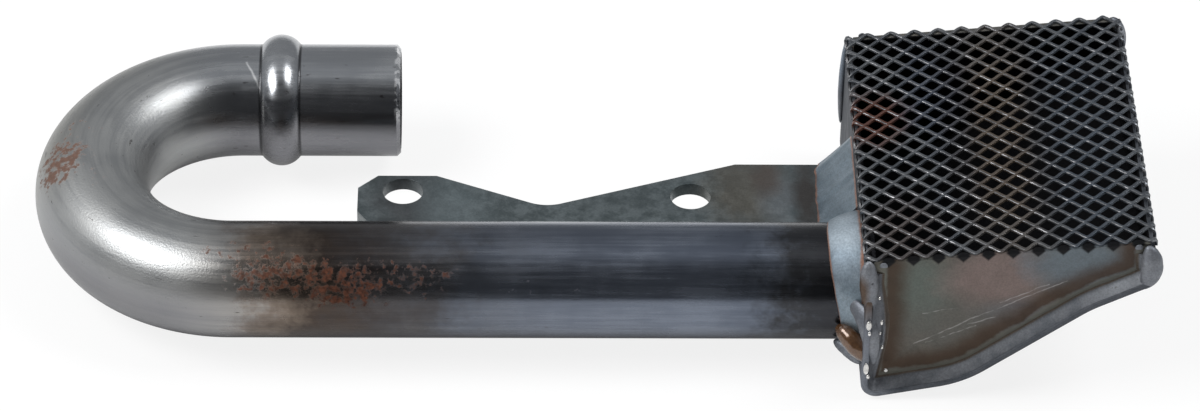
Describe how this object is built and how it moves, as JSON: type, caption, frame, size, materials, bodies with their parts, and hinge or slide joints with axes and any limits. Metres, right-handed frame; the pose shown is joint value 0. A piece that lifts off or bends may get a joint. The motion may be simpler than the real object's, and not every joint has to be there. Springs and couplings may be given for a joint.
{
  "type": "oil pickup tube",
  "caption": "Bent steel oil suction tube with a beaded outlet spigot, a bolt-on side bracket and a welded strainer scoop closed by expanded-metal mesh.",
  "frame": {"origin": "midway between the two bolt holes, on the bracket's mating face (its underside, away from the mesh)", "axes": "+X along the pickup leg from the bend towards the scoop, +Z out of the bracket on the mesh side, +Y from the pickup leg towards the outlet leg"},
  "size_m": [0.2429, 0.0993, 0.0433],
  "materials": {
    "tube_steel": "mill-finish drawn tube, dull blue-grey with light rust and heat tint",
    "bracket_steel": "plain plate, olive-grey mill scale with brown heat tint",
    "scoop_steel": "folded sheet, blue-grey, heat stained at the welds",
    "plate_steel": "flat sheet, matte olive-brown heat tint with scratches",
    "screen_steel": "expanded metal, dark blue-grey with brown and blue temper colours",
    "weld_metal": "as-welded bead, pale blue-grey",
    "burnt_weld": "as-welded bead, glossy burnt brown"
  },
  "bodies": {
    "root": {"tube": "tube_steel", "bracket": "bracket_steel", "scoop_strip": "scoop_steel", "near_side_plate": "plate_steel", "far_side_plate": "plate_steel", "screen": "screen_steel", "tube_weld": "weld_metal", "tube_second_weld": "burnt_weld", "bracket_end_weld": "weld_metal", "bracket_stitch_welds": "weld_metal", "near_seam_weld": "weld_metal", "far_seam_weld": "weld_metal", "screen_tack_welds": "weld_metal"}
  },
  "joints": []
}
